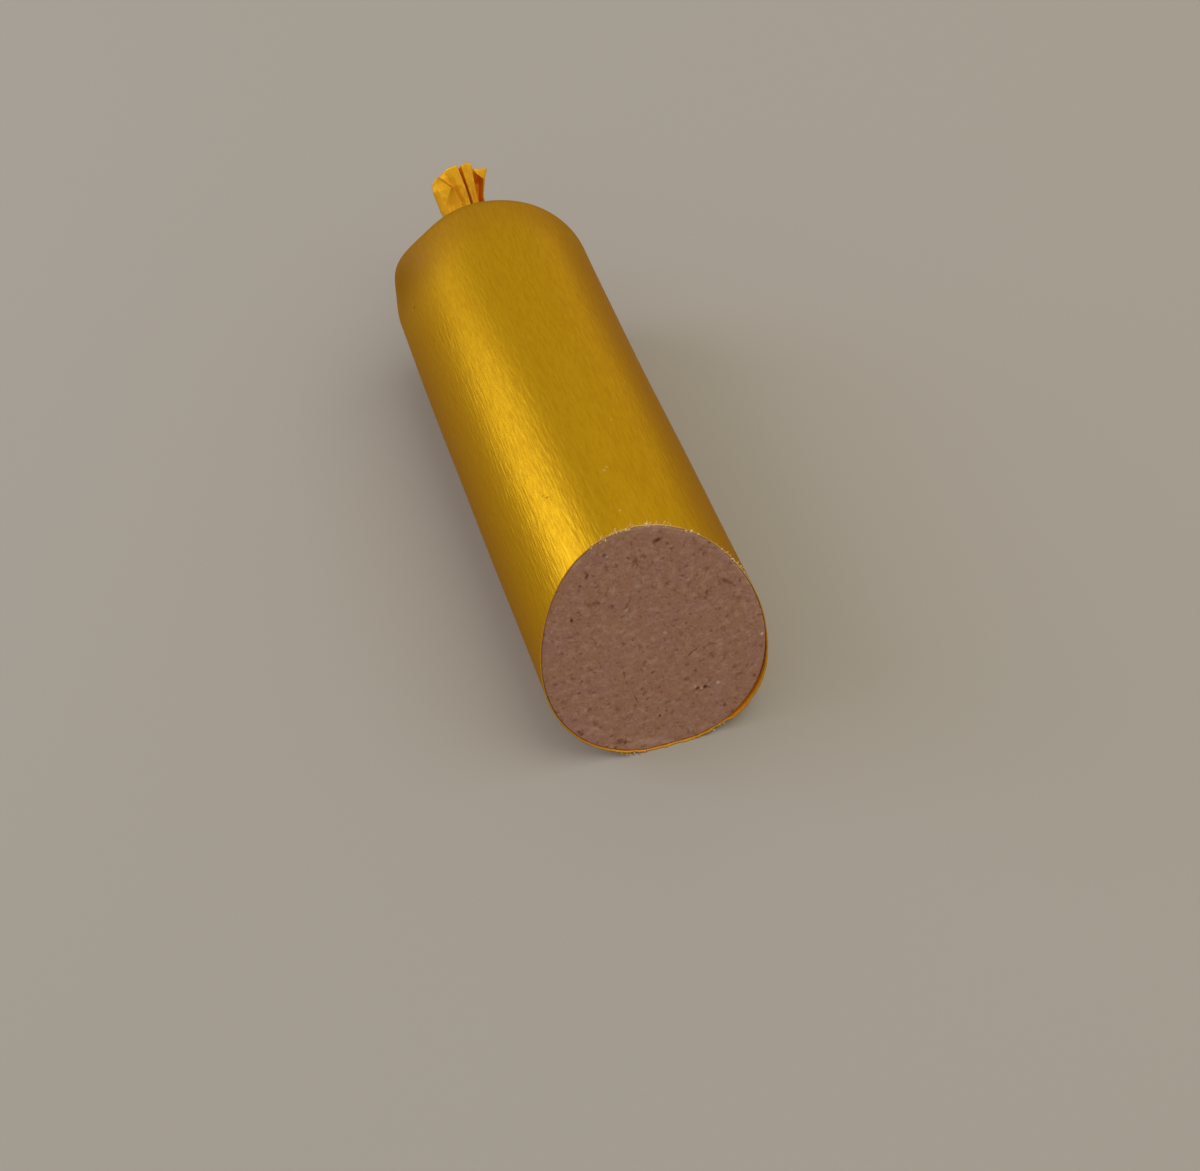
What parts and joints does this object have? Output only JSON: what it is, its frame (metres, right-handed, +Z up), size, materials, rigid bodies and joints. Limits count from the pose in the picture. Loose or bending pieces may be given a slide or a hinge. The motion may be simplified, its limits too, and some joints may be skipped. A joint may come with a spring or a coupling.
{
  "type": "liverwurst",
  "caption": "Half of a liverwurst sausage in a gold casing, cut across on a slant, with its far end gathered, clipped and fanned out in a pleated tail.",
  "frame": {"origin": "on the surface the sausage lies on, under the middle of its bounding box", "axes": "+Y along the sausage's axis from the cut face to the tail, +X to the right as seen from the cut face, +Z up"},
  "size_m": [0.0566, 0.18, 0.0553],
  "materials": {
    "casing": "satin metallic gold fibrous casing",
    "meat": "moist fine meat paste, pinkish brown",
    "clip": "plain drawn wire, flattened by crimping"
  },
  "bodies": {
    "root": {"casing": "casing", "meat": "meat", "clip": "clip"}
  },
  "joints": []
}
